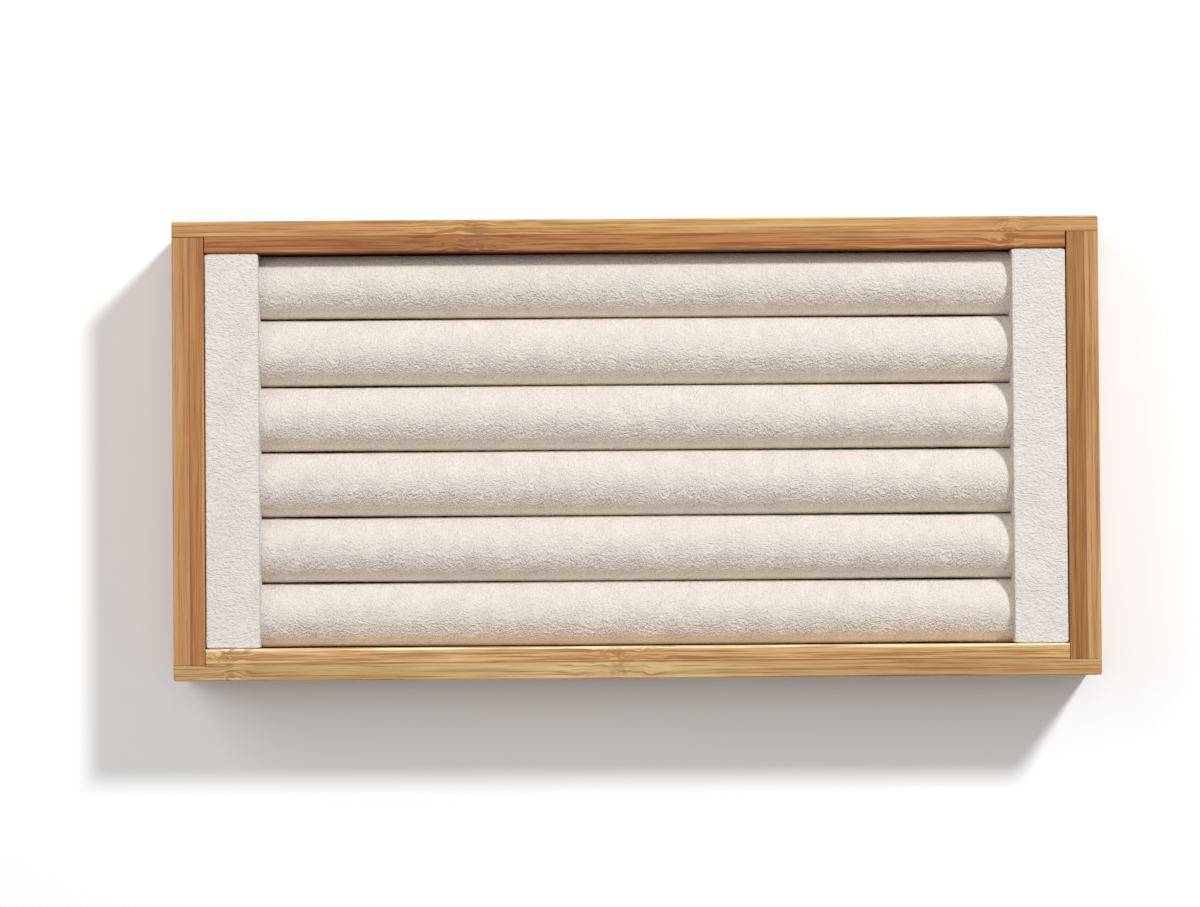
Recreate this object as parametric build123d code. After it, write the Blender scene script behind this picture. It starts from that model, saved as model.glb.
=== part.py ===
# Ring holder: a low bamboo tray with a drop-in insert of six fabric-covered
# foam rolls between two fabric-covered end bars.  Rings are pushed down
# between neighbouring rolls and stand on edge.
#
# Frame: millimetres, +Z up, origin at the centre of the underside.
# X runs along the rolls, +Y is the back rail, -Y the front rail.
from build123d import *
import os

os.makedirs("parts", exist_ok=True)

# ---------------------------------------------------------------- dimensions
TRAY_X = 230.0          # outside length
TRAY_Y = 114.0          # outside depth
TRAY_Z = 30.0           # height of the rim
RAIL_T = 7.9            # thickness of each bamboo rail
TONGUE_T = 3.9          # wood left outside the rabbet of a long rail
CORNER_R = 0.6          # sanded vertical corners
RIM_OUT_R = 0.45        # eased outside arris of the rim
RIM_IN_R = 0.45         # eased inside arris of the rim
FOOT_R = 0.45           # eased outside arris of the underside
# Glue-ups are never quite tight.  Per corner (side in X, side in Y): how far the
# rabbet's shoulder stands off the short rail, and the short rail's end off the
# tongue.
JOINT_OPEN = {
    (-1, 1): (0.24, 0.12),
    (1, 1): (0.34, 0.05),
    (-1, -1): (0.14, 0.06),
    (1, -1): (0.06, 0.09),
}

PANEL_T = 3.0           # base panel thickness
PANEL_Z = 2.5           # underside of the base panel above the table
GROOVE_DEPTH = 3.5      # groove in the rails that houses the panel
GROOVE_PLAY = 0.1       # groove height over the panel's thickness
PANEL_BITE = 3.3        # how far the panel enters each groove

INSERT_X0, INSERT_X1 = -106.80, 106.80     # ends of the drop-in insert
INSERT_Y0, INSERT_Y1 = -48.80, 48.80       # its front and back
BOARD_T = 2.0           # greyboard backing of the insert
BOARD_LIP = 0.3         # the board stands this far inside the fabric

BAR_W = 13.2            # width of an end bar, fabric included
BAR_TOP_Z = 29.3        # top of the end bars, just under the rim
BAR_R = 0.5             # eased edges of the covered bar
FABRIC_T = 0.7          # microfibre thickness, pile included

# where each roll ends and the next begins, from the back: foam rolls are cut and
# glued by hand, so their widths differ by a few tenths
ROLL_EDGES = [INSERT_Y1, 32.95, 16.10, -0.20, -16.52, -32.86, INSERT_Y0]
ROLL_N = len(ROLL_EDGES) - 1
ROLL_GAP = 0.04         # play between two rolls that touch
ROLL_TOP_Z = 27.3       # crest of the rolls
ROLL_END_GAP = 0.05     # play between a roll and an end bar
SEAM_W = 0.4            # butt seam of a roll cover, on its underside

# ------------------------------------------------------------------- derived
HX, HY = TRAY_X / 2, TRAY_Y / 2
IN_X, IN_Y = HX - RAIL_T, HY - RAIL_T      # inside faces of the rails
SIDE_Y = HY - TONGUE_T                     # ends of the short rails
PANEL_TOP = PANEL_Z + PANEL_T
BOARD_TOP = PANEL_TOP + BOARD_T
ROLL_X0 = INSERT_X0 + BAR_W + ROLL_END_GAP # ends of the rolls
ROLL_X1 = INSERT_X1 - BAR_W - ROLL_END_GAP


def block(x0, x1, y0, y1, z0, z1):
    """A box from its low and high corners."""
    return Pos((x0 + x1) / 2, (y0 + y1) / 2, (z0 + z1) / 2) * Box(
        x1 - x0, y1 - y0, z1 - z0
    )


# ------------------------------------------------------------ bamboo tray
# The four rails are glued up and then sanded as one, so each rail is cut
# from the eased envelope of the whole frame.
outer = block(-HX, HX, -HY, HY, 0, TRAY_Z)
outer = fillet(outer.edges().filter_by(Axis.Z), CORNER_R)
outer = fillet(outer.faces().sort_by(Axis.Z)[-1].edges(), RIM_OUT_R)
outer = fillet(outer.faces().sort_by(Axis.Z)[0].edges(), FOOT_R)
well = block(-IN_X, IN_X, -IN_Y, IN_Y, -1, TRAY_Z + 1)
envelope = outer - well
inner_rim = [
    e
    for e in envelope.edges()
    if abs(e.center().Z - TRAY_Z) < 1e-6
    and abs(e.center().X) <= IN_X + 1e-6
    and abs(e.center().Y) <= IN_Y + 1e-6
]
envelope = fillet(inner_rim, RIM_IN_R)

groove_z0, groove_z1 = PANEL_Z - GROOVE_PLAY / 2, PANEL_TOP + GROOVE_PLAY / 2


def long_rail(side):
    """Front (side -1) or back (side +1) rail, full length, rabbeted at both
    ends and grooved for the base panel."""
    y_in, y_out = side * IN_Y, side * (HY + 1)
    raw = block(-HX - 1, HX + 1, min(y_in, y_out), max(y_in, y_out), -1, TRAY_Z + 1)
    rabbet_y = sorted((side * (IN_Y - 1), side * SIDE_Y))
    for s in (-1, 1):
        xs = sorted((s * (IN_X - JOINT_OPEN[s, side][0]), s * (HX + 2)))
        raw -= block(xs[0], xs[1], rabbet_y[0], rabbet_y[1], -2, TRAY_Z + 2)
    gy = sorted((side * (IN_Y - 1), side * (IN_Y + GROOVE_DEPTH)))
    raw -= block(-HX - 2, HX + 2, gy[0], gy[1], groove_z0, groove_z1)
    return raw & envelope


def short_rail(side):
    """Left (side -1) or right (side +1) rail, let into the rabbets."""
    x_in, x_out = side * IN_X, side * (HX + 1)
    y0 = -SIDE_Y + JOINT_OPEN[side, -1][1]
    y1 = SIDE_Y - JOINT_OPEN[side, 1][1]
    raw = block(min(x_in, x_out), max(x_in, x_out), y0, y1, -1, TRAY_Z + 1)
    gx = sorted((side * (IN_X - 1), side * (IN_X + GROOVE_DEPTH)))
    raw -= block(gx[0], gx[1], -HY, HY, groove_z0, groove_z1)
    # The short rail's end stands in the rabbet, outside the sanded well.
    ends = outer - block(-IN_X, IN_X, -HY - 1, HY + 1, -1, TRAY_Z + 1)
    piece = raw & ends
    arris = [
        e
        for e in piece.edges()
        if abs(e.center().Z - TRAY_Z) < 1e-6
        and abs(e.center().X - side * IN_X) < 1e-6
    ]
    return fillet(arris, RIM_IN_R)


PARTS = {}
PARTS["rail_back"] = long_rail(1)
PARTS["rail_front"] = long_rail(-1)
PARTS["rail_left"] = short_rail(-1)
PARTS["rail_right"] = short_rail(1)

panel = block(
    -IN_X - PANEL_BITE, IN_X + PANEL_BITE, -IN_Y - PANEL_BITE, IN_Y + PANEL_BITE,
    PANEL_Z, PANEL_TOP,
)
PARTS["base_panel"] = panel

# ---------------------------------------------------------- drop-in insert
board = block(
    INSERT_X0 + BOARD_LIP, INSERT_X1 - BOARD_LIP,
    INSERT_Y0 + BOARD_LIP, INSERT_Y1 - BOARD_LIP,
    PANEL_TOP, BOARD_TOP,
)
PARTS["insert_board"] = board

for x0, name in ((INSERT_X0, "left"), (INSERT_X1 - BAR_W, "right")):
    whole = block(x0, x0 + BAR_W, INSERT_Y0, INSERT_Y1, BOARD_TOP, BAR_TOP_Z)
    whole = fillet(whole.edges().filter_by(Axis.Z), BAR_R)
    whole = fillet(whole.faces().sort_by(Axis.Z)[-1].edges(), BAR_R - 0.05)
    core = block(
        x0 + FABRIC_T, x0 + BAR_W - FABRIC_T,
        INSERT_Y0 + FABRIC_T, INSERT_Y1 - FABRIC_T,
        BOARD_TOP, BAR_TOP_Z - FABRIC_T,
    )
    PARTS["end_bar_core_" + name] = core
    PARTS["end_bar_cover_" + name] = whole - core


def roll_solid(y, width, z_low, z_high):
    """A round-topped, slightly flattened roll along X."""
    r = width / 2
    section = Plane.YZ * Pos(y, (z_low + z_high) / 2) * RectangleRounded(
        width, z_high - z_low, r - 0.001
    )
    return Pos(ROLL_X0, 0, 0) * extrude(section, ROLL_X1 - ROLL_X0, dir=(1, 0, 0))


for i in range(ROLL_N):                                    # roll 1 is at the back
    y = (ROLL_EDGES[i] + ROLL_EDGES[i + 1]) / 2
    width = ROLL_EDGES[i] - ROLL_EDGES[i + 1] - ROLL_GAP
    skin = roll_solid(y, width, BOARD_TOP, ROLL_TOP_Z)
    foam = roll_solid(
        y, width - 2 * FABRIC_T, BOARD_TOP + FABRIC_T, ROLL_TOP_Z - FABRIC_T
    )
    seam = block(
        ROLL_X0 - 1, ROLL_X1 + 1, y - SEAM_W / 2, y + SEAM_W / 2,
        BOARD_TOP - 1, BOARD_TOP + FABRIC_T + 0.3,
    )
    PARTS["roll_foam_%d" % (i + 1)] = foam
    PARTS["roll_cover_%d" % (i + 1)] = skin - foam - seam

# -------------------------------------------------------------------- export
for name, shape in PARTS.items():
    solids = shape.solids()
    out = solids[0] if len(solids) == 1 else Compound(children=list(solids))
    export_step(out, "parts/%s.step" % name)
    print(name, len(solids), round(sum(s.volume for s in solids), 1))
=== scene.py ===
import math

import bpy
import numpy as np
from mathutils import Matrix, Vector
from mathutils.kdtree import KDTree


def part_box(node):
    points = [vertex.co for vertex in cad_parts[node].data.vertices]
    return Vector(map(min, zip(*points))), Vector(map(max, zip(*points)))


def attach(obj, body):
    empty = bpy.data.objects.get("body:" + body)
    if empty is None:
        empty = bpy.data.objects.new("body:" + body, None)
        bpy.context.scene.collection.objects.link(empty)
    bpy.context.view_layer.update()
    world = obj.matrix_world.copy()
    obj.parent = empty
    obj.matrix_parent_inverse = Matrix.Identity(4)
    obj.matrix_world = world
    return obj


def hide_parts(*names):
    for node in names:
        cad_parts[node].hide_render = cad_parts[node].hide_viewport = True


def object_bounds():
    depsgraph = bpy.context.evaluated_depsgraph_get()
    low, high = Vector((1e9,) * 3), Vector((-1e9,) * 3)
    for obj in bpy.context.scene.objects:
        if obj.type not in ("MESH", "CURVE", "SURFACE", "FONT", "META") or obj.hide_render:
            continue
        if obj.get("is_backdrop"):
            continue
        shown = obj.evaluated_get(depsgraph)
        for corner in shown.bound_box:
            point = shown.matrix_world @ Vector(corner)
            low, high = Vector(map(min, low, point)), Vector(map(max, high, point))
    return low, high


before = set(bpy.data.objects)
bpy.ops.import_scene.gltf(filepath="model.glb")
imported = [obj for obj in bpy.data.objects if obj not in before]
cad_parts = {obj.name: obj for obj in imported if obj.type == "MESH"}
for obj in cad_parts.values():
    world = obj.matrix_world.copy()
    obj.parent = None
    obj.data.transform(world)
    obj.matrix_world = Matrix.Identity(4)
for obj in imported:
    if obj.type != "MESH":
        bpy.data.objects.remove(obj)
cad_lo, cad_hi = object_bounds()
scene = bpy.context.scene
MM = 0.001

# The tray's and the insert's driving sizes, in millimetres, as packed.
HX, HY = cad_hi.x / MM, cad_hi.y / MM
ROLLS = 6


def node_box(name):
    lo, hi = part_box(name)
    return np.array(lo) / MM, np.array(hi) / MM


# ------------------------------------------------------------------ noise
def _hash(ix, iy, iz, seed):
    h = (
        ix.astype(np.int64) * 374761393
        + iy.astype(np.int64) * 668265263
        + iz.astype(np.int64) * 2147483647
        + seed * 1274126177
    ) & 0xFFFFFFFF
    h = ((h ^ (h >> 13)) * 1274126177) & 0xFFFFFFFF
    h = ((h ^ (h >> 16)) * 2246822519) & 0xFFFFFFFF
    return ((h ^ (h >> 15)) & 0xFFFFFF) / float(0xFFFFFF)


def vnoise(p, wave, seed):
    """Smooth value noise in -1..1 at points p (n, 3), for a wavelength, or three of them."""
    q = np.asarray(p, float) / np.asarray(wave, float) * 2.0
    i = np.floor(q)
    f = q - i
    f = f * f * f * (f * (f * 6 - 15) + 10)
    out = np.zeros(len(q))
    for dx in (0, 1):
        for dy in (0, 1):
            for dz in (0, 1):
                w = (
                    (f[:, 0] if dx else 1 - f[:, 0])
                    * (f[:, 1] if dy else 1 - f[:, 1])
                    * (f[:, 2] if dz else 1 - f[:, 2])
                )
                out += w * _hash(i[:, 0] + dx, i[:, 1] + dy, i[:, 2] + dz, seed)
    return out * 2 - 1


# -------------------------------------------------------------- materials
class Shader:
    """A small helper for building node materials."""

    def __init__(self, name):
        self.m = bpy.data.materials.new(name)
        self.m.use_nodes = True
        self.t = self.m.node_tree
        self.t.nodes.clear()
        out = self.t.nodes.new("ShaderNodeOutputMaterial")
        self.b = self.t.nodes.new("ShaderNodeBsdfPrincipled")
        self.t.links.new(self.b.outputs[0], out.inputs[0])

    def put(self, socket, v):
        if isinstance(v, bpy.types.NodeSocket):
            self.t.links.new(v, socket)
        else:
            socket.default_value = v

    def set(self, **kw):
        for k, v in kw.items():
            self.put(self.b.inputs[k.replace("_", " ")], v)

    def math(self, op, a, b=None, c=None, clamp=False):
        n = self.t.nodes.new("ShaderNodeMath")
        n.operation, n.use_clamp = op, clamp
        for s, v in zip(n.inputs, (a, b, c)):
            if v is not None:
                self.put(s, v)
        return n.outputs[0]

    def add(self, a, b):
        return self.math("ADD", a, b)

    def sub(self, a, b):
        return self.math("SUBTRACT", a, b)

    def mul(self, a, b):
        return self.math("MULTIPLY", a, b)

    def place(self, scale=1000.0):
        """Object coordinates in millimetres, and the three of them apart."""
        tc = self.t.nodes.new("ShaderNodeTexCoord")
        v = self.t.nodes.new("ShaderNodeVectorMath")
        v.operation = "SCALE"
        self.t.links.new(tc.outputs["Object"], v.inputs[0])
        v.inputs["Scale"].default_value = scale
        s = self.t.nodes.new("ShaderNodeSeparateXYZ")
        self.t.links.new(v.outputs[0], s.inputs[0])
        n = self.t.nodes.new("ShaderNodeSeparateXYZ")
        self.t.links.new(tc.outputs["Normal"], n.inputs[0])
        return v.outputs[0], s.outputs, n.outputs

    def vec(self, x, y, z):
        n = self.t.nodes.new("ShaderNodeCombineXYZ")
        for s, v in zip(n.inputs, (x, y, z)):
            self.put(s, v)
        return n.outputs[0]

    def vadd(self, a, b):
        n = self.t.nodes.new("ShaderNodeVectorMath")
        n.operation = "ADD"
        self.put(n.inputs[0], a)
        self.put(n.inputs[1], b)
        return n.outputs[0]

    def vscale(self, a, k):
        n = self.t.nodes.new("ShaderNodeVectorMath")
        n.operation = "MULTIPLY"
        self.put(n.inputs[0], a)
        n.inputs[1].default_value = k if hasattr(k, "__len__") else (k, k, k)
        return n.outputs[0]

    def noise(self, v, scale=1.0, detail=2.0, rough=0.5, distort=0.0, colour=False):
        n = self.t.nodes.new("ShaderNodeTexNoise")
        self.put(n.inputs["Vector"], v)
        self.put(n.inputs["Scale"], scale)
        n.inputs["Detail"].default_value = detail
        n.inputs["Roughness"].default_value = rough
        n.inputs["Distortion"].default_value = distort
        return n.outputs["Color" if colour else 0]

    def voronoi(self, v, scale=1.0):
        n = self.t.nodes.new("ShaderNodeTexVoronoi")
        self.put(n.inputs["Vector"], v)
        n.inputs["Scale"].default_value = scale
        return n.outputs["Distance"]

    def step(self, v, a, b, lo=0.0, hi=1.0):
        """Smooth step of v from a to b, mapped to lo..hi."""
        n = self.t.nodes.new("ShaderNodeMapRange")
        n.interpolation_type = "SMOOTHSTEP"
        for s, x in zip(n.inputs, (v, a, b, lo, hi)):
            self.put(s, x)
        return n.outputs[0]

    def lin(self, v, a, b, lo=0.0, hi=1.0):
        n = self.t.nodes.new("ShaderNodeMapRange")
        for s, x in zip(n.inputs, (v, a, b, lo, hi)):
            self.put(s, x)
        return n.outputs[0]

    def mix(self, f, a, b, mode="MIX"):
        n = self.t.nodes.new("ShaderNodeMix")
        n.data_type, n.blend_type = "RGBA", mode
        self.put(n.inputs[0], f)
        for s, v in ((n.inputs[6], a), (n.inputs[7], b)):
            if isinstance(v, tuple) and len(v) == 3:
                v = (*v, 1.0)
            self.put(s, v)
        return n.outputs[2]

    def ramp(self, f, stops):
        n = self.t.nodes.new("ShaderNodeValToRGB")
        e = n.color_ramp.elements
        while len(e) < len(stops):
            e.new(0.5)
        for k, (p, c) in zip(e, stops):
            k.position, k.color = p, (*c, 1.0)
        self.put(n.inputs[0], f)
        return n.outputs[0]

    def grey(self, v):
        """A value as a colour, for multiplying one with."""
        n = self.t.nodes.new("ShaderNodeCombineColor")
        for s in n.inputs:
            self.put(s, v)
        return n.outputs[0]

    def bump(self, height, distance_mm, strength=1.0, normal=None):
        n = self.t.nodes.new("ShaderNodeBump")
        n.inputs["Strength"].default_value = strength
        n.inputs["Distance"].default_value = distance_mm * MM
        self.put(n.inputs["Height"], height)
        if normal is not None:
            self.put(n.inputs["Normal"], normal)
        return n.outputs[0]


def bamboo(name, along, side, seed, glue, knots, outer, inner, joint_z, streaks=(0.95, 1.45), pale=(0.6, 0.6),
           wear_and_highlight_tint=(1.26, 1.40, 1.62), inner_paleness=0.25, patches=()):
    """Side-pressed bamboo laminate: two plies through the rail's thickness, each of
    strips with long fibres, wavy at the culm's nodes.  All lengths in millimetres.
    along is the rail's axis, side the sign of its outer face, outer and inner the
    two plies' mean colours, streaks how strongly each is streaked, pale how much paler the
    outer and the inner arris are (sanding, and on the inner arris a painted highlight), wear that paler colour over
    the rest's, and bare how much paler the inner face is made.
    patches are broad drifts of colour along the rail: ply, place, half width, tint."""
    s = Shader(name)
    _, (x, y, z), (nx, ny, nz) = s.place()
    if along == "X":
        length, deep, end = x, s.sub(HY, s.mul(y, side)), nx
    else:
        length, deep, end = y, s.sub(HX, s.mul(x, side)), ny
    # the culm's nodes: where the fibres swerve
    near = None
    for at, wide in knots:
        d = s.mul(s.sub(length, at), 1.0 / wide)
        g = s.math("EXPONENT", s.mul(s.mul(d, d), -1.0))
        near = g if near is None else s.math("MAXIMUM", near, g)
    swerve = s.sub(
        s.noise(s.vec(s.mul(length, 0.12), s.mul(deep, 0.22), s.add(s.mul(z, 0.10), seed)), 1, 1.0, 0.5), 0.5
    )
    drift = s.sub(
        s.noise(s.vec(s.mul(length, 0.019), s.mul(deep, 0.12), s.add(s.mul(z, 0.06), seed + 9)), 1, 1.5, 0.5), 0.5
    )
    shift = s.add(s.mul(s.mul(swerve, near), 5.6), s.mul(drift, 0.8))
    t = s.add(deep, shift)
    tz = s.add(z, s.mul(shift, 1.3))
    glue_at = s.add(s.mul(drift, 0.30), glue)
    ply = s.step(deep, s.sub(glue_at, 0.07), s.add(glue_at, 0.07))
    z_at = s.add(s.mul(ply, joint_z[1] - joint_z[0]), joint_z[0])
    row = s.step(z, s.sub(z_at, 0.05), s.add(z_at, 0.05))
    own = s.add(s.mul(ply, 37.0), s.add(s.mul(row, 11.0), seed))
    broad = s.noise(s.vec(s.mul(length, 0.008), s.mul(t, 0.45), s.add(s.mul(tz, 0.2), own)), 1, 1.5, 0.5)
    mid = s.noise(s.vec(s.mul(length, 0.016), s.mul(t, 1.15), s.add(s.mul(tz, 0.45), own)), 1, 1.5, 0.5)
    thin = s.noise(s.vec(s.mul(length, 0.036), s.mul(t, 2.3), s.add(s.mul(tz, 0.9), own)), 1, 1.5, 0.55)
    fine = s.noise(s.vec(s.mul(length, 0.12), s.mul(t, 5.0), s.add(s.mul(tz, 2.0), own)), 1, 2.0, 0.6)
    pores = s.noise(s.vec(s.mul(length, 0.5), s.mul(t, 9.0), s.add(s.mul(tz, 5.0), own)), 1, 1.0, 0.5)
    tone = s.add(s.add(s.mul(broad, 0.16), s.mul(mid, 0.25)), s.add(s.mul(thin, 0.34), s.mul(fine, 0.25)))
    half = s.add(0.080 / streaks[0], s.mul(ply, 0.080 / streaks[1] - 0.080 / streaks[0]))
    tone = s.lin(tone, s.sub(0.5, half), s.add(half, 0.5))
    ripple = s.mul(near, s.step(s.noise(s.vec(s.mul(length, 0.045), s.mul(t, 0.8), s.mul(tz, 0.3)), 1, 1.5, 0.6), 0.54, 0.40))
    tone = s.sub(tone, s.mul(ripple, 0.50))
    wisps = s.noise(s.vec(s.mul(length, 0.07), s.mul(t, 1.7), s.add(s.mul(tz, 0.6), own)), 1, 1.5, 0.5)
    tone = s.add(tone, s.mul(s.mul(near, s.step(wisps, 0.53, 0.62)), 0.55))

    def shades(base):
        return s.ramp(tone, [
            (0.0, tuple(b * k for b, k in zip(base, (0.70, 0.56, 0.46)))),
            (0.30, tuple(b * k for b, k in zip(base, (0.88, 0.82, 0.76)))),
            (0.58, tuple(b * k for b, k in zip(base, (1.03, 1.04, 1.05)))),
            (1.0, tuple(b * k for b, k in zip(base, (1.17, 1.28, 1.40)))),
        ])

    colour = s.mix(ply, shades(outer), shades(inner))
    # slow reddish and straw-coloured drifts along each strip
    hue = s.noise(s.vec(s.mul(length, 0.018), s.mul(t, 0.5), s.add(s.mul(tz, 0.2), s.add(own, 5.0))), 1, 2.0, 0.5)
    colour = s.mix(s.step(hue, 0.52, 0.70, 0.0, 0.65), colour, s.mix(1.0, colour, (1.05, 0.84, 0.70), "MULTIPLY"))
    colour = s.mix(s.step(hue, 0.48, 0.30, 0.0, 0.55), colour, s.mix(1.0, colour, (1.02, 1.09, 1.14), "MULTIPLY"))
    for which, at, wide, tint in patches:
        d = s.mul(s.sub(length, at), 1.0 / wide)
        g = s.mul(s.math("EXPONENT", s.mul(s.mul(d, d), -1.0)), ply if which else s.sub(1.0, ply))
        colour = s.mix(g, colour, s.mix(1.0, colour, tint, "MULTIPLY"))
    # thin dark fibre bundles, and the glue line between the plies
    bundles = s.step(s.add(s.mul(thin, 0.55), s.add(s.mul(fine, 0.25), s.mul(pores, 0.20))), 0.44, 0.34)
    colour = s.mix(s.mul(bundles, 0.46), colour, (0.170, 0.064, 0.018))
    line = s.step(s.math("ABSOLUTE", s.sub(deep, glue_at)), 0.27, 0.07)
    broken = s.noise(s.vec(s.mul(length, 0.035), own, 0.0), 1, 2.0, 0.6)
    colour = s.mix(s.mul(line, s.step(broken, 0.30, 0.62, 0.22, 0.78)), colour, (0.19, 0.078, 0.026))
    zline = s.step(s.math("ABSOLUTE", s.sub(z, z_at)), 0.16, 0.04)
    colour = s.mix(s.mul(zline, 0.35), colour, (0.19, 0.085, 0.032))
    # a node's band across the strip
    band = s.mul(s.step(near, 0.94, 1.0), s.step(s.noise(s.vec(s.mul(length, 0.8), s.mul(t, 0.9), tz), 1, 2.0, 0.6), 0.42, 0.6))
    colour = s.mix(s.mul(band, 0.40), colour, (0.24, 0.095, 0.034))
    # end grain: close-set dark bundles
    cut = s.step(s.math("ABSOLUTE", end), 0.55, 0.9)
    dots = s.voronoi(s.vec(s.mul(deep, 1.0), s.mul(z, 1.0), seed), 2.3)
    grain = s.mix(s.step(dots, 0.42, 0.18), (0.40, 0.215, 0.088), (0.16, 0.07, 0.025))
    colour = s.mix(s.mul(cut, 0.8), colour, grain)
    # sanded arrises at the rim are a little paler; on the inner arris, most of all on the front rail that faces the
    # lamp, the paler colour is also a painted highlight
    up = s.sub(TOP, z)
    up = s.mul(up, up)
    back = s.sub(RAIL_T, deep)
    rim = s.math("SQRT", s.add(up, s.math("MINIMUM", s.mul(deep, deep), s.mul(back, back))))
    worn = s.mul(s.step(rim, 0.85, 0.25), s.step(mid, 0.38, 0.60, 0.6, 1.0))
    colour = s.mix(s.mul(worn, s.step(deep, RAIL_T - 1.6, RAIL_T - 1.2, *pale)), colour,
                   s.mix(1.0, colour, wear_and_highlight_tint, "MULTIPLY"))
    # the faces inside the well are made paler, so that they throw more light back onto the rolls
    inner_face = s.mul(s.step(deep, RAIL_T - 0.10, RAIL_T - 0.03), s.step(z, TOP - 0.3, TOP - 0.6))
    colour = s.mix(s.mul(inner_face, inner_paleness), colour, s.mix(0.25, (0.74, 0.58, 0.39), colour))
    s.set(Base_Color=colour)
    s.set(Roughness=s.add(s.mul(fine, 0.16), s.add(s.mul(bundles, 0.06), 0.44)))
    s.b.inputs["Specular IOR Level"].default_value = 0.34
    height = s.sub(s.add(s.mul(thin, 0.6), s.mul(pores, 0.4)), s.mul(line, 0.7))
    s.set(Normal=s.bump(height, 0.05, 0.8))
    return s.m


def suede(name, base, streaks, seed, relief, mottle=1.0, flank=0.0):
    """Short-napped microfibre: brushed curls of fine pile, a soft sheen.  streaks are
    the nap's counts to the millimetre along the three axes; flank is how much more
    it is ruffled on the flanks that face the front, where rings are pushed in, and
    smoothed again where one roll presses on the next.  A non-zero flank also adds
    painted light on those flanks and painted shade in the gaps between rolls."""
    s = Shader(name)
    p, (x, y, z), (nx, ny, nz) = s.place()
    p = s.vadd(p, (seed * 3.7, seed * 1.9, seed * 2.3))
    # the pile is brushed this way and that
    sway = s.vadd(s.noise(s.vscale(p, 0.12), 1, 1.5, 0.5, 0, True), (-0.5, -0.5, -0.5))
    p1 = s.vadd(p, s.vscale(sway, 5.0))
    curl = s.vadd(s.noise(s.vscale(p1, 0.9), 1, 1.5, 0.5, 0, True), (-0.5, -0.5, -0.5))
    p2 = s.vadd(p1, s.vscale(curl, 0.75))
    nap = s.noise(s.vscale(p2, streaks), 1, 1.0, 0.5, 0.0)
    pile = s.noise(s.vscale(p1, tuple(1.75 * k for k in streaks)), 1, 2.0, 0.6)
    grain = s.voronoi(s.vscale(p1, streaks), 1.35)
    blotch = s.noise(s.vscale(p, 0.17), 1, 2.0, 0.5)
    h = s.add(s.add(s.mul(nap, 0.46), s.mul(pile, 0.34)), s.mul(s.math("MINIMUM", grain, 0.75), -0.20))
    shade = s.add(s.add(s.lin(nap, 0.3, 0.7, -0.045 * mottle, 0.045 * mottle),
                        s.lin(pile, 0.3, 0.7, -0.045 * mottle, 0.045 * mottle)),
                  s.lin(blotch, 0.3, 0.7, 0.985, 1.015))
    colour = s.mix(1.0, (*base, 1.0), s.grey(shade), "MULTIPLY")
    warm = s.noise(s.vscale(p, 0.37), 1, 1.0, 0.5)
    colour = s.mix(s.step(warm, 0.5, 0.75, 0.0, 0.5), colour,
                   s.mix(1.0, colour, (1.012, 0.995, 0.975), "MULTIPLY"))
    strength = 1.0
    if flank:
        turned = s.step(ny, -0.05, -0.52)
        pressed = s.step(ny, -0.58, -0.90)
        # painted light: the flanks that face the front, which lie in shade, are lightened to stand in for light
        # bounced from the next roll
        colour = s.mix(s.step(ny, -0.25, -0.55), colour, s.mix(1.0, colour, (1.16, 1.135, 1.10), "MULTIPLY"))
        # painted light: the front roll's flank is lightened further, standing in for light thrown back from the front
        # rail
        colour = s.mix(s.step(y, -44.0, -46.5), colour, s.mix(1.0, colour, (1.05, 1.09, 1.11), "MULTIPLY"))
        # painted shade: the cloth down in the gap between two rolls is darkened where shade falls
        seam = s.mul(s.step(z, 19.6, 18.3), s.step(s.math("ABSOLUTE", y), 48.3, 47.2))
        colour = s.mix(seam, colour, s.mix(1.0, colour, (0.58, 0.50, 0.43), "MULTIPLY"))
        strength = s.sub(s.add(1.0, s.mul(turned, flank)), s.mul(pressed, flank + 0.25))
        # painted light: the lowest band of each front flank, pressed on the next roll, is lightened, standing in for
        # bounced light
        colour = s.mix(pressed, colour, s.mix(1.0, colour, (1.07, 1.06, 1.02), "MULTIPLY"))
        # painted shade: dark specks in the nap's hollows on the shaded flanks stand in for the pile's own small
        # shadows
        nap_shadow_specks = s.step(h, 0.34, 0.24, 0.0, 0.09)
        colour = s.mix(s.mul(nap_shadow_specks, s.sub(turned, pressed)), colour, (0.30, 0.25, 0.20))
    s.set(Base_Color=colour)
    s.set(Roughness=s.lin(nap, 0.3, 0.7, 0.88, 0.97))
    s.b.inputs["Diffuse Roughness"].default_value = 0.1
    s.b.inputs["Specular IOR Level"].default_value = 0.12
    s.b.inputs["Sheen Weight"].default_value = 0.18
    s.b.inputs["Sheen Roughness"].default_value = 0.40
    s.b.inputs["Sheen Tint"].default_value = (1.0, 0.97, 0.94, 1.0)
    s.set(Normal=s.bump(s.mul(h, strength), relief, 1.0))
    return s.m


def board(name, a, b, grain, rough, seed):
    """Pressed fibre or grey board: short flecks, no direction."""
    s = Shader(name)
    p, _, _ = s.place()
    p = s.vadd(p, (seed, seed * 2.0, seed * 3.0))
    flecks = s.noise(s.vscale(p, (0.7 * grain, 1.3 * grain, 2.2 * grain)), 1, 4.0, 0.65, 0.6)
    cloud = s.noise(s.vscale(p, 0.12), 1, 2.0, 0.5)
    tone = s.add(s.mul(flecks, 0.75), s.mul(cloud, 0.25))
    s.set(Base_Color=s.mix(s.lin(tone, 0.32, 0.68), (*a, 1.0), (*b, 1.0)))
    s.set(Roughness=s.lin(flecks, 0.3, 0.7, rough - 0.06, rough + 0.06))
    s.b.inputs["Specular IOR Level"].default_value = 0.25
    s.set(Normal=s.bump(flecks, 0.07, 0.8))
    return s.m


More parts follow.
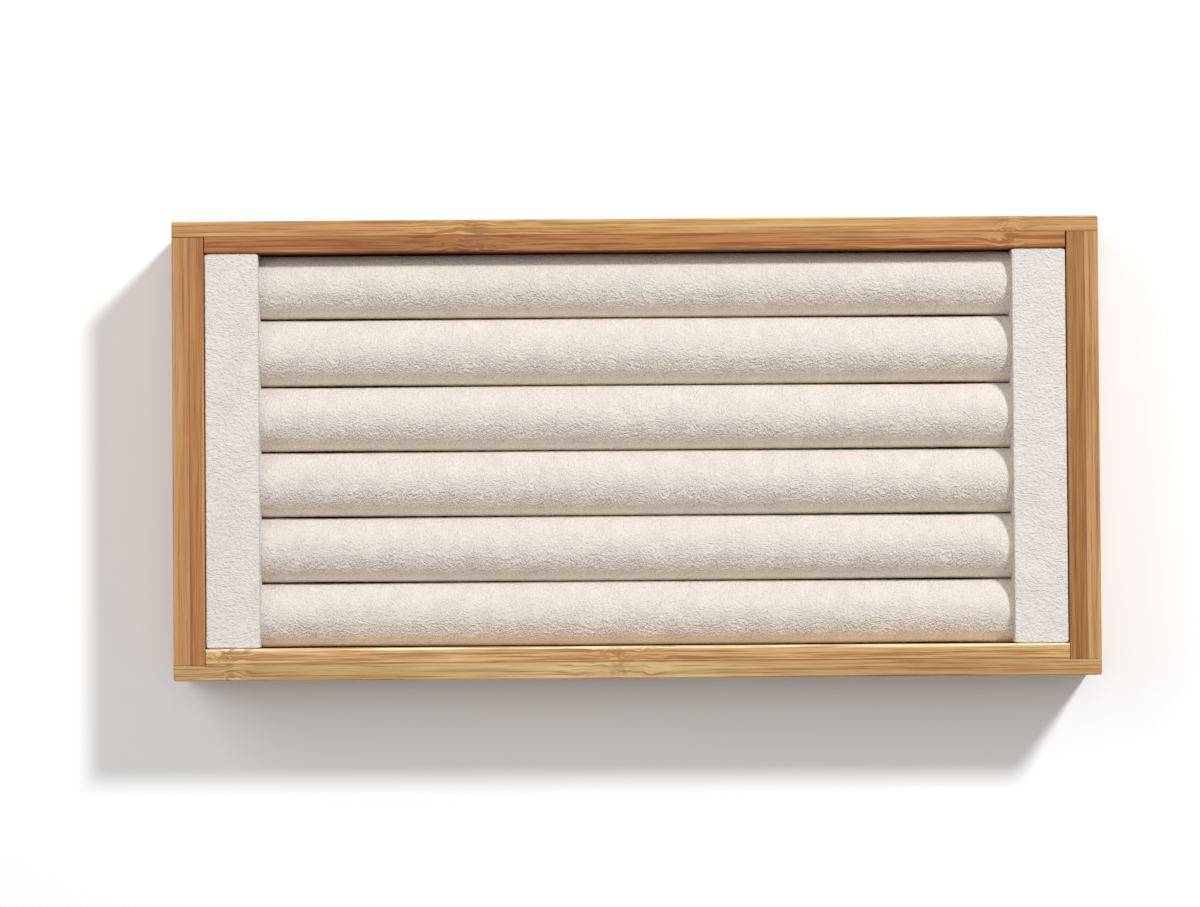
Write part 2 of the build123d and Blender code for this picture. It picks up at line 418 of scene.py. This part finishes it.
def veneer(name, seed):
    """The base panel: thin ply faced with pale rotary-cut veneer, grain along X."""
    s = Shader(name)
    p, (x, y, z), (nx, ny, nz) = s.place()
    bend = s.sub(s.noise(s.vec(s.mul(x, 0.012), s.mul(y, 0.05), seed), 1, 2.0, 0.5), 0.5)
    v = s.add(y, s.mul(bend, 9.0))
    rings = s.noise(s.vec(s.mul(x, 0.006), s.mul(v, 0.22), seed), 1, 2.0, 0.5)
    fibre = s.noise(s.vec(s.mul(x, 0.05), s.mul(v, 2.4), seed + 3), 1, 3.0, 0.6)
    pore = s.noise(s.vec(s.mul(x, 0.35), s.mul(v, 7.0), seed + 5), 1, 2.0, 0.6)
    tone = s.add(s.mul(rings, 0.5), s.add(s.mul(fibre, 0.35), s.mul(pore, 0.15)))
    face = s.ramp(s.lin(tone, 0.34, 0.66), [
        (0.0, (0.33, 0.19, 0.095)), (0.5, (0.45, 0.285, 0.155)), (1.0, (0.55, 0.375, 0.225)),
    ])
    s.set(Base_Color=s.mix(s.mul(s.step(pore, 0.38, 0.24), 0.35), face, (0.2, 0.11, 0.05)))
    s.set(Roughness=s.lin(fibre, 0.3, 0.7, 0.55, 0.7))
    s.set(Normal=s.bump(s.add(s.mul(fibre, 0.5), s.mul(pore, 0.5)), 0.05, 0.7))
    return s.m


TOP = cad_hi.z / MM
RAIL_T = 7.9


def dress(node, material):
    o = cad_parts[node]
    o.data.materials.clear()
    o.data.materials.append(material)
    return o


dress("rail_back", bamboo("bamboo_back", "X", 1, 2.0, 3.85, [(-40.0, 12.0), (92.0, 5.0)],
                          (0.5003, 0.284, 0.1009), (0.3322, 0.1362, 0.0384), (16.5, 12.0), (0.95, 1.9), (0.6, 0.95), inner_paleness=0.0,
                          patches=[(0, -80, 38, (0.87, 0.80, 0.78)), (0, 98, 30, (0.85, 0.79, 0.80)),
                                   (1, -47, 24, (0.84, 0.77, 0.72)), (1, 82, 32, (1.18, 1.34, 1.40))]))
dress("rail_front", bamboo("bamboo_front", "X", -1, 17.0, 4.2, [(-5.0, 10.0), (-101.0, 5.0)],
                           (0.4331, 0.2754, 0.1067), (0.4621, 0.2582, 0.0958), (14.0, 18.5), (0.90, 1.6), (0.35, 1.35),
                           (1.60, 2.10, 2.95), 0.60,
                           patches=[(0, -8, 32, (1.13, 1.19, 1.34)), (0, 85, 38, (0.95, 0.84, 0.77)),
                                    (1, -80, 55, (1.18, 1.34, 1.52)), (1, 85, 38, (1.08, 1.17, 1.17))]))
dress("rail_left", bamboo("bamboo_left", "Y", -1, 31.0, 4.3, [(140.0, 5.0)],
                          (0.425, 0.214, 0.077), (0.364, 0.164, 0.0487), (13.0, 17.5), (0.58, 0.80)))
dress("rail_right", bamboo("bamboo_right", "Y", 1, 47.0, 3.6, [(-61.0, 5.0)],
                           (0.4254, 0.2322, 0.0891), (0.3037, 0.1379, 0.0369), (18.0, 12.5), (0.85, 1.0)))
dress("base_panel", veneer("base_veneer", 4.0))
dress("insert_board", board("greyboard", (0.23, 0.215, 0.195), (0.36, 0.34, 0.31), 1.6, 0.85, 3.0))
for end in ("left", "right"):
    dress("end_bar_core_" + end, board("fibreboard", (0.26, 0.165, 0.09), (0.40, 0.27, 0.16), 2.4, 0.8, 7.0))


# ------------------------------------------------------------ soft pieces
def mesh_object(name, verts_mm, faces, material, smooth=True):
    me = bpy.data.meshes.new(name)
    me.from_pydata([tuple(v) for v in np.asarray(verts_mm) * MM], [], faces)
    me.validate()
    me.update()
    if smooth:
        me.polygons.foreach_set("use_smooth", [True] * len(me.polygons))
    me.materials.append(material)
    o = bpy.data.objects.new(name, me)
    scene.collection.objects.link(o)
    return o


def cloth_fill(name, verts_mm, faces, pinned, fill, cap):
    """Lets a filled cover find its own shape: cloth blown up from inside, unevenly as
    the filling is, and held where it is glued.  Returns how far each vertex moved,
    in millimetres, at most cap."""
    v = np.asarray(verts_mm, float)
    big = 0.01                                   # the solver is happier with a 2 m roll
    me = bpy.data.meshes.new(name)
    me.from_pydata([tuple(p) for p in v * big], [], faces)
    me.update()
    o = bpy.data.objects.new(name, me)
    scene.collection.objects.link(o)
    pin = o.vertex_groups.new(name="pin")
    for i in np.nonzero(pinned > 0)[0]:
        pin.add([int(i)], float(pinned[i]), "REPLACE")
    full = o.vertex_groups.new(name="fill")
    for i, w in enumerate(fill):
        full.add([i], float(w), "REPLACE")
    m = o.modifiers.new("cloth", "CLOTH")
    c = m.settings
    c.quality = 6
    c.mass = 0.3
    c.air_damping = 2.0
    c.tension_stiffness = c.compression_stiffness = 30.0
    c.shear_stiffness = 12.0
    c.bending_stiffness = 3.0
    c.tension_damping = c.compression_damping = c.shear_damping = 10.0
    c.vertex_group_mass = "pin"
    c.pin_stiffness = 1.0
    c.use_pressure = True
    c.uniform_pressure_force = 4.0
    c.vertex_group_pressure = "fill"
    c.effector_weights.gravity = 0.0
    m.collision_settings.use_collision = False
    m.point_cache.frame_start, m.point_cache.frame_end = 1, 20
    for f in range(1, 21):
        scene.frame_set(f)
    moved = o.evaluated_get(bpy.context.evaluated_depsgraph_get()).data
    co = np.empty(len(v) * 3)
    moved.vertices.foreach_get("co", co)
    d = co.reshape(-1, 3) / big - v
    bpy.data.objects.remove(o)
    bpy.data.meshes.remove(me)
    scene.frame_set(1)
    far = np.linalg.norm(d, axis=1, keepdims=True)
    print("CLOTH", name, "moved mm: mean", round(float(far.mean()), 3), "max", round(float(far.max()), 3))
    return d * np.minimum(1.0, cap / np.maximum(far, 1e-9))


def stadium(half, z_low, z_high, count):
    """Points and outward normals (y, z) at even steps of arc round a roll's section,
    from the top of the front flank counter-clockwise, count of them."""
    straight = (z_high - z_low) - 2 * half
    arc = math.pi * half
    whole = 2 * arc + 2 * straight
    out = []
    for t in count:
        u = (t % 1.0) * whole
        if u < arc:                                   # over the top, front to back
            a = -math.pi / 2 + u / half
            out.append((half * math.sin(a), z_high - half + half * math.cos(a), math.sin(a), math.cos(a)))
        elif u < arc + straight:
            out.append((half, z_high - half - (u - arc), 1.0, 0.0))
        elif u < 2 * arc + straight:
            a = math.pi / 2 + (u - arc - straight) / half
            out.append((half * math.sin(a), z_low + half + half * math.cos(a), math.sin(a), math.cos(a)))
        else:
            out.append((-half, z_low + half + (u - 2 * arc - straight), -1.0, 0.0))
    return np.array(out)


def tube(n, m):
    faces = []
    for c in range(n - 1):
        a, b = c * m, (c + 1) * m
        for k in range(m):
            l = (k + 1) % m
            faces.append((a + k, b + k, b + l, a + l))
    return faces


END_R = 0.12


def roll_cloth_shape(i, lo, hi, yc, half):
    """The simulated roll as a grid of movements: places along X, round the section."""
    m, n = 38, 76
    sec = stadium(half, lo[2], hi[2], np.arange(m) / m)
    xs = np.linspace(lo[0], hi[0], n)
    v = np.stack([np.repeat(xs, m), np.tile(sec[:, 0], n) + yc, np.tile(sec[:, 1], n)], 1)
    faces = tube(n, m)
    for c, flip in ((0, False), (n - 1, True)):
        ring = tuple(c * m + k for k in range(m))
        faces.append(ring[::-1] if flip else ring)
    pinned = np.where(v[:, 2] < lo[2] + 2.5, 1.0, 0.0)
    pinned[:m] = 1.0
    pinned[-m:] = 1.0
    fill = np.clip(0.72 + 0.28 * vnoise(v, (30, 26, 26), 11 + i) + 0.16 * vnoise(v, (11, 12, 12), 31 + i), 0.2, 1.0)
    d = cloth_fill("roll_sim_%d" % i, v, faces, pinned, fill, 2.0).reshape(n, m, 3)
    return d, m, n


def make_roll(i):
    lo, hi = node_box("roll_cover_%d" % (i + 1))
    yc, half = (lo[1] + hi[1]) / 2, (hi[1] - lo[1]) / 2
    straight = (hi[2] - lo[2]) - 2 * half
    whole = 2 * math.pi * half + 2 * straight
    top = math.pi * half / whole
    m_top, m_low = 62, 16
    ts = np.concatenate([np.linspace(0, top, m_top, endpoint=False),
                         np.linspace(top, 1, m_low, endpoint=False)])
    m = len(ts)
    sec = stadium(half, lo[2], hi[2], ts)
    # columns along X, with small turned-in ends
    xs, inset = [], []
    for k in range(4):
        a = k / 3 * math.pi / 2
        xs.append(lo[0] + END_R * (1 - math.sin(a)))
        inset.append(END_R * (1 - math.cos(a)))
    xs, inset = xs[::-1], inset[::-1]
    body = np.linspace(lo[0] + END_R, hi[0] - END_R, int((hi[0] - lo[0]) / 0.5))
    xs = xs[:-1] + list(body) + [lo[0] + hi[0] - v for v in xs[:-1][::-1]]
    inset = np.array(inset[:-1] + [0.0] * len(body) + inset[:-1][::-1])
    xs = np.array(xs)
    n = len(xs)
    # the simulated movement, carried over to the fine grid
    d, dm, dn = roll_cloth_shape(i, lo, hi, yc, half)
    sec_d = stadium(half, lo[2], hi[2], np.arange(dm) / dm)
    swell = d[:, :, 1] * sec_d[None, :, 2] + d[:, :, 2] * sec_d[None, :, 3]
    swell = swell - np.median(swell[6:-6], axis=0)[None, :]     # keeps the measured section
    tall = max(float(np.percentile(np.abs(swell[6:-6]), 98)), 1e-9)
    swell = np.clip(swell * min(1.0, 0.13 / tall), -0.2, 0.2)
    hold = np.clip((np.minimum(np.arange(dn), np.arange(dn)[::-1]) - 1) / 6.0, 0, 1)
    swell = swell * (hold * hold * (3 - 2 * hold))[:, None]
    at_t = ts * dm
    k0 = np.floor(at_t).astype(int) % dm
    ft = at_t - np.floor(at_t)
    ft = ft * ft * (3 - 2 * ft)
    at_x = (xs - lo[0]) / (hi[0] - lo[0]) * (dn - 1)
    j0 = np.clip(np.floor(at_x).astype(int), 0, dn - 2)
    fx = at_x - j0
    fx = fx * fx * (3 - 2 * fx)
    near = swell[:, k0] * (1 - ft)[None, :] + swell[:, (k0 + 1) % dm] * ft[None, :]
    soft = (near[j0] * (1 - fx)[:, None] + near[j0 + 1] * fx[:, None]).reshape(-1)
    gx = np.repeat(xs, m)
    gin = np.repeat(inset, m)
    gy = np.tile(sec[:, 0], n)
    gz = np.tile(sec[:, 1], n)
    ny = np.tile(sec[:, 2], n)
    nz = np.tile(sec[:, 3], n)
    # and the nap's own relief, standing up more where two rolls meet
    p = np.stack([gx, gy + yc, gz], 1)
    nap = 0.022 * vnoise(p, (2.6, 1.6, 1.6), 51 + i) + 0.016 * vnoise(p, (1.2, 1.0, 1.0), 71 + i)
    flank = np.clip((np.abs(ny) - 0.93) / 0.07, 0, 1) * (gz > hi[2] - half - 1.5)
    fuzz = flank * 0.07 * np.maximum(vnoise(p, (1.5, 1.3, 1.3), 91 + i), -0.4)
    up = np.clip((gz - (lo[2] + 4)) / 6, 0, 1)
    worn = 0.01 if i == 0 else -0.07                  # the pile is crushed behind each roll
    out = -gin + (soft - 0.10 + np.where(ny > 0, worn, 0.055) * flank) * up + nap + fuzz
    proud = 0.13 * (gz > hi[2] - half - 1.0)          # the nap at the tray's walls
    gy = np.where((i == 0) & (ny > 0), gy + ny * proud, gy)
    gy = np.where((i == ROLLS - 1) & (ny < 0), gy + ny * proud, gy)
    low = -half - (proud if i == ROLLS - 1 else 0.0)
    high = half + (proud if i == 0 else 0.0)
    gy = np.clip(gy + ny * out, low, high) + yc
    gz = np.clip(gz + nz * out, lo[2], hi[2])
    middle = (lo[0] + hi[0]) / 2                      # the ends press into the bars
    gx = middle + (gx - middle) * (hi[0] - middle + 0.14) / (hi[0] - middle)
    verts = list(map(tuple, np.stack([gx, gy, gz], 1)))
    faces = tube(n, m)
    for c, flip in ((0, False), (n - 1, True)):
        ring = [c * m + k for k in range(m)]
        zc = (lo[2] + hi[2]) / 2
        for shrink in (0.75, 0.4):
            base = len(verts)
            for k in range(m):
                v = verts[c * m + k]
                verts.append((v[0], yc + (v[1] - yc) * shrink, zc + (v[2] - zc) * shrink))
            new = list(range(base, base + m))
            for k in range(m):
                l = (k + 1) % m
                f = (ring[k], ring[l], new[l], new[k])
                faces.append(f[::-1] if flip else f)
            ring = new
        mid = len(verts)
        verts.append((verts[c * m][0], yc, zc))
        for k in range(m):
            l = (k + 1) % m
            f = (ring[k], ring[l], mid)
            faces.append(f[::-1] if flip else f)
    return verts, faces


roll_cloth = suede("microfibre_rolls", (0.696, 0.642, 0.592), (1.60, 1.35, 0.65), 1.0, 0.76, 0.6, 0.90)
bar_cloth = suede("microfibre_bars", (0.685, 0.645, 0.606), (0.95, 1.35, 1.35), 2.0, 0.74, 0.6)

for i in range(ROLLS):
    verts, faces = make_roll(i)
    roll = mesh_object("ring_roll_%d" % (i + 1), verts, faces, roll_cloth)
    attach(roll, "insert")
    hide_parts("roll_cover_%d" % (i + 1), "roll_foam_%d" % (i + 1))


def rounded_box(lo, hi, r, step):
    """A closed box with rounded edges as an even grid of quads."""
    axes = []
    for a in range(3):
        inner = np.linspace(lo[a] + r, hi[a] - r, max(2, int((hi[a] - lo[a] - 2 * r) / step) + 1))
        k = np.array([0.0, 0.18, 0.42, 0.70]) * r
        axes.append(np.concatenate([lo[a] + k, inner, (hi[a] - k)[::-1]]))
    index, verts, faces = {}, [], []
    def vert(i, j, k):
        key = (i, j, k)
        if key not in index:
            index[key] = len(verts)
            verts.append((axes[0][i], axes[1][j], axes[2][k]))
        return index[key]
    n = [len(a) for a in axes]
    for fixed in range(3):
        u, v = (fixed + 1) % 3, (fixed + 2) % 3
        for last in (0, 1):
            for a in range(n[u] - 1):
                for b in range(n[v] - 1):
                    quad = []
                    for da, db in ((0, 0), (1, 0), (1, 1), (0, 1)):
                        c = [0, 0, 0]
                        c[fixed] = (n[fixed] - 1) * last
                        c[u], c[v] = a + da, b + db
                        quad.append(vert(*c))
                    faces.append(tuple(quad) if last else tuple(quad[::-1]))
    p = np.array(verts)
    core = np.clip(p, np.array(lo) + r, np.array(hi) - r)
    d = p - core
    # the grid's own distance from the core box is by the largest axis, so spread it on a ball
    big = np.abs(d).max(1, keepdims=True)
    length = np.linalg.norm(d, axis=1, keepdims=True)
    normal = np.where(length > 1e-9, d / np.maximum(length, 1e-9), 0)
    p = core + normal * big
    return p, faces, normal


def carry(from_points, amounts, to_points):
    """Amounts at one set of points carried to another, by nearness."""
    tree = KDTree(len(from_points))
    for i, q in enumerate(from_points):
        tree.insert(q, i)
    tree.balance()
    out = np.empty(len(to_points))
    for i, q in enumerate(to_points):
        near = tree.find_n(q, 6)
        w = [1.0 / (d * d + 0.6) for _, _, d in near]
        out[i] = sum(a * amounts[k] for a, (_, k, _) in zip(w, near)) / sum(w)
    return out


def fold_grooves(p, lo, hi, normal):
    """The cover's corners are folded at the bar's two ends like a parcel's: how deep
    each point lies in a fold's edge."""
    mid = (lo[0] + hi[0]) / 2
    wide = (hi[0] - lo[0]) / 2
    u = np.abs(p[:, 0] - mid)
    drop = hi[2] - p[:, 2]
    side = (wide - u) * 0.83 - drop * 0.56          # along the flap's slanting edge
    below = drop < wide * 1.45
    slant = np.exp(-(side / 0.28) ** 2) * below
    seam = np.exp(-((p[:, 0] - mid) / 0.26) ** 2) * ~below
    ends = np.clip((np.abs(normal[:, 1]) - 0.8) / 0.15, 0, 1)
    flap = np.where((side > 0) & below, 0.16, 0.0)
    return ends * (0.30 * np.maximum(slant, seam) - flap)


for end, seed in (("left", 3), ("right", 5)):
    lo, hi = node_box("end_bar_cover_" + end)
    coarse, cfaces, cnormal = rounded_box(lo, hi, 0.5, 2.4)
    pinned = np.where(coarse[:, 2] < lo[2] + 1.0, 1.0, 0.0)
    edge = (np.abs(cnormal) > 0.35).sum(1) > 1       # tight over the core's edges
    pinned = np.where(edge, 1.0, pinned)
    fill = np.clip(0.7 + 0.3 * vnoise(coarse, (16, 20, 16), 80 + seed), 0.2, 1.0)
    moved = cloth_fill("bar_sim_" + end, coarse, cfaces, pinned, fill, 2.0)
    swell = (moved * cnormal).sum(1)
    swell = swell * min(1.0, 0.10 / max(float(np.percentile(np.abs(swell), 98)), 1e-9))
    p, faces, normal = rounded_box(lo, hi, 0.38, 0.45)
    soft = carry(coarse, swell, p)
    nap = 0.022 * vnoise(p, (2.2, 1.2, 1.2), 97 + seed) + 0.012 * vnoise(p, (1.1, 1.0, 1.0), 99 + seed)
    edge = np.clip(((np.abs(normal) > 0.25).sum(1) > 1) * 1.0, 0, 1)
    fuzz = edge * 0.09 * np.maximum(vnoise(p, (1.4, 1.2, 1.2), 107 + seed), -0.5)
    wall = np.maximum(np.abs(normal[:, 1]), normal[:, 0] * (-1 if end == "left" else 1))
    fuzz = fuzz + 0.12 * np.clip(wall, 0, 1) * np.clip((p[:, 2] - (hi[2] - 9)) / 5, 0, 1)
    p = p + normal * (soft + nap + fuzz - 0.03 - fold_grooves(p, lo, hi, normal))[:, None]
    p = np.clip(p, lo - np.array([0.20, 0.18, 0.0]), hi + np.array([0.20, 0.18, 0.05]))
    bar = mesh_object("end_bar_" + end, p, faces, bar_cloth)
    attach(bar, "insert")
    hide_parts("end_bar_cover_" + end, "end_bar_core_" + end)


# ------------------------------------------------------------------ stage
def floor_mesh():
    size, z = 6.0, 0.0
    me = bpy.data.meshes.new("studio_floor")
    me.from_pydata([(-size, -size, z), (size, -size, z), (size, size, z), (-size, size, z)], [], [(0, 1, 2, 3)])
    o = bpy.data.objects.new("studio_floor", me)
    scene.collection.objects.link(o)
    s = Shader("studio_white")
    p, _, _ = s.place(1.0)
    s.set(Base_Color=s.mix(s.noise(p, 3.0, 2.0, 0.5), (0.895, 0.900, 0.91, 1.0), (0.915, 0.920, 0.93, 1.0)))
    s.b.inputs["Roughness"].default_value = 0.9
    s.b.inputs["Specular IOR Level"].default_value = 0.1
    me.materials.append(s.m)
    o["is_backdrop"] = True
    return o


floor_mesh()


def area(name, direction, distance, size, level, colour=(1, 1, 1), shape="DISK"):
    """An area light that gives a level white surface that much radiance."""
    d = Vector(direction).normalized()
    data = bpy.data.lights.new(name, "AREA")
    data.shape, data.size = shape, size
    data.color = colour
    data.energy = level * math.pi ** 2 * distance ** 2 / d.z
    o = bpy.data.objects.new(name, data)
    o.location = d * distance
    o.rotation_mode = "QUATERNION"
    o.rotation_quaternion = d.to_track_quat("Z", "Y")
    scene.collection.objects.link(o)
    return o


LIGHTS = {
    "key": ((20.8, 24.4, 30.0), 1.7, 0.22, 0.555, (0.995, 0.995, 1.0)),
    "fill": ((-0.62, 0.30, 0.66), 1.7, 1.5, 0.270, (1.0, 0.978, 0.950)),
    "above": ((-0.02, -0.02, 1.0), 2.2, 1.3, 0.180, (1.0, 0.978, 0.950)),
}
WORLD = 0.265
for name, (direction, distance, size, level, colour) in LIGHTS.items():
    if level > 0:
        area(name, direction, distance, size, level, colour)
world = bpy.data.worlds.new("studio")
world.use_nodes = True
world.node_tree.nodes["Background"].inputs[0].default_value = (1.0, 0.975, 0.945, 1.0)
world.node_tree.nodes["Background"].inputs[1].default_value = WORLD
scene.world = world
scene.view_settings.view_transform = "Standard"
scene.view_settings.look = "None"

cam = bpy.data.cameras.new("camera")
cam.sensor_width = 36.0
cam.lens = 141.5
cam.clip_start, cam.clip_end = 0.05, 20.0
camera = bpy.data.objects.new("camera", cam)
camera.location = (-0.01060, -0.03038, 1.19891)
camera.rotation_euler = (math.radians(1.425), math.radians(-0.069), math.radians(-0.410))
scene.collection.objects.link(camera)
scene.camera = camera

lo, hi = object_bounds()
